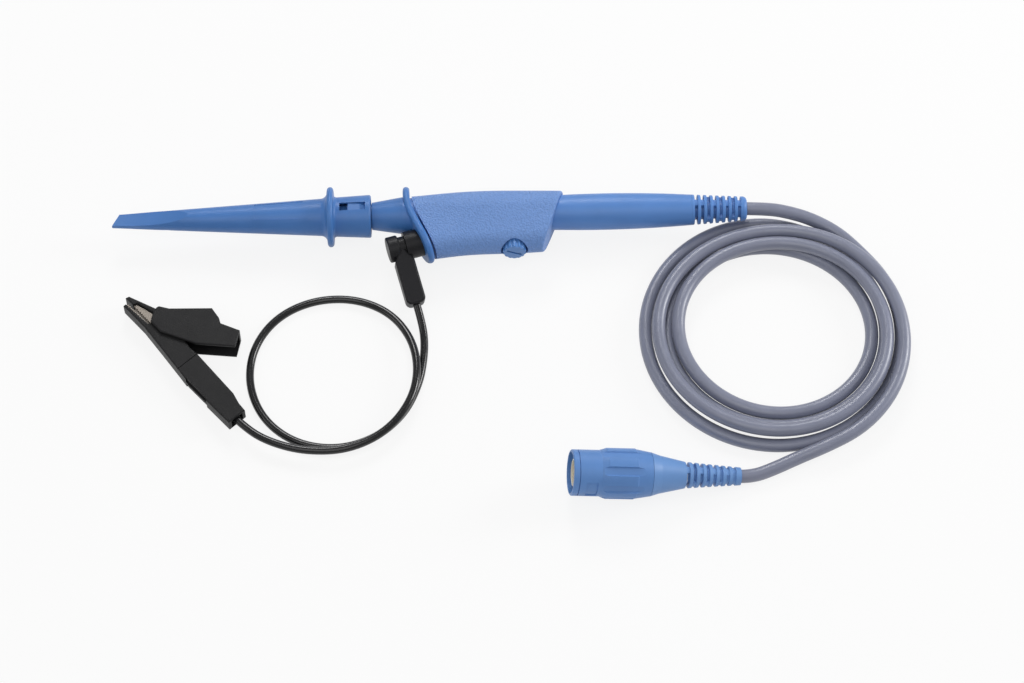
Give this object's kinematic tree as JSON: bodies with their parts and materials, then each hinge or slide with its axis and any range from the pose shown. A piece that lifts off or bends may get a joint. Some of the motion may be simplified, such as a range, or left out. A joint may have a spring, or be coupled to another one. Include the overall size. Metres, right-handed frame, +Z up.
{
  "type": "oscilloscope probe",
  "caption": "Passive oscilloscope probe with a retractable hook, finger guard, compensation trimmer, coiled cable with bayonet plug, and a ground lead with crocodile clip",
  "frame": {"origin": "on the surface that the probe lies on, under the middle of the probe's own box, without its cable, plug and ground lead", "axes": "+X runs along the probe from its hook to its cable, +Z is up from the surface, +Y is away from the belly, trimmer and ground socket"},
  "size_m": [0.2749, 0.1218, 0.021],
  "materials": {
    "body_blue": "light blue moulded plastic, satin",
    "grip_blue": "light blue plastic with a fine leather-like grain",
    "knob_blue": "light blue moulded plastic",
    "plug_blue": "light blue moulded plastic, satin",
    "cable_grey": "blue-grey flexible cable jacket, faint sheen",
    "lead_black": "black moulded plastic, fine satin",
    "clip_black": "black plastic with a fine texture",
    "wire_black": "black wire insulation with a soft gloss",
    "steel": "bright spring steel",
    "brass": "turned brass",
    "nickel": "nickel plate",
    "gold": "gold-plated contact",
    "cream_insulator": "cream insulating plastic",
    "white_insulator": "white insulating plastic",
    "board_green": "solder-masked board",
    "component_dark": "chip bodies",
    "resistor_body": "lacquered ceramic",
    "gasket_rubber": "rubber"
  },
  "bodies": {
    "probe_body": {"nose_housing": "body_blue", "probe_needle": "steel", "tip_insulator": "white_insulator", "input_resistor": "resistor_body", "shield_tube": "brass", "rear_housing": "body_blue", "grip_sleeve": "grip_blue", "trimmer_capacitor": "white_insulator", "compensation_board": "board_green", "board_components": "component_dark", "inner_conductor": "brass", "cable_inner_end": "cable_grey", "cable_crimp_ferrule": "nickel", "cable_strain_relief": "body_blue", "ground_socket_boss": "lead_black", "ground_socket": "brass", "cable_lead_in": "cable_grey", "cable_coil": "cable_grey", "cable_tail": "cable_grey", "connector_boot": "plug_blue", "contact_sleeve": "nickel", "contact_dielectric": "white_insulator", "insulating_collar": "cream_insulator", "centre_pin": "gold", "plug_gasket": "gasket_rubber", "wave_washer": "steel", "connector_crimp": "nickel", "cable_plug_end": "cable_grey"},
    "hook": {"hook_core": "body_blue", "hook_wire": "steel", "hook_contact": "brass", "hook_spring": "steel"},
    "hook_slider": {"hook_sleeve": "body_blue"},
    "trimmer": {"trimmer_knob": "knob_blue"},
    "bayonet_coupling": {"bayonet_shell": "plug_blue", "bayonet_nut": "nickel"},
    "ground_lead": {"ground_plug": "lead_black", "ground_plug_pin": "brass", "ground_wire": "wire_black", "clip_lower_cover": "clip_black", "clip_lower_jaw": "steel", "clip_pivot_pin": "steel", "clip_spring": "steel", "clip_wire_crimp": "nickel"},
    "clip_lever": {"clip_upper_cover": "clip_black", "clip_upper_jaw": "steel"}
  },
  "joints": [
    {"name": "trimmer_turn", "type": "hinge", "parent": "probe_body", "child": "trimmer", "pos_m": [0.0292, -0.00605, 0.0105], "axis": [0, -1, 0], "continuous": true},
    {"name": "hook_pull_off", "type": "slide", "parent": "probe_body", "child": "hook", "axis": [-1, 0, 0], "range_m": [0, 0.03]},
    {"name": "hook_press", "type": "slide", "parent": "hook", "child": "hook_slider", "axis": [1, 0, 0], "range_m": [0, 0.0028], "stiffness_N_per_m": 400, "springref_m": -0.002, "deforming": ["hook_spring"]},
    {"name": "ground_pull_out", "type": "slide", "parent": "probe_body", "child": "ground_lead", "axis": [-0.9636, -0.2672, 0], "range_m": [0, 0.012]},
    {"name": "clip_open", "type": "hinge", "parent": "ground_lead", "child": "clip_lever", "pos_m": [-0.09027, -0.03821, 0.004], "axis": [0, 0, -1], "range_deg": [0, 25], "stiffness_Nm_per_rad": 0.12, "springref_deg": -8.59, "deforming": ["clip_spring"]},
    {"name": "bayonet_turn", "type": "hinge", "parent": "probe_body", "child": "bayonet_coupling", "pos_m": [0.05833, -0.09882, 0.00984], "axis": [-0.9881, -0.0293, 0.1508], "continuous": true}
  ]
}
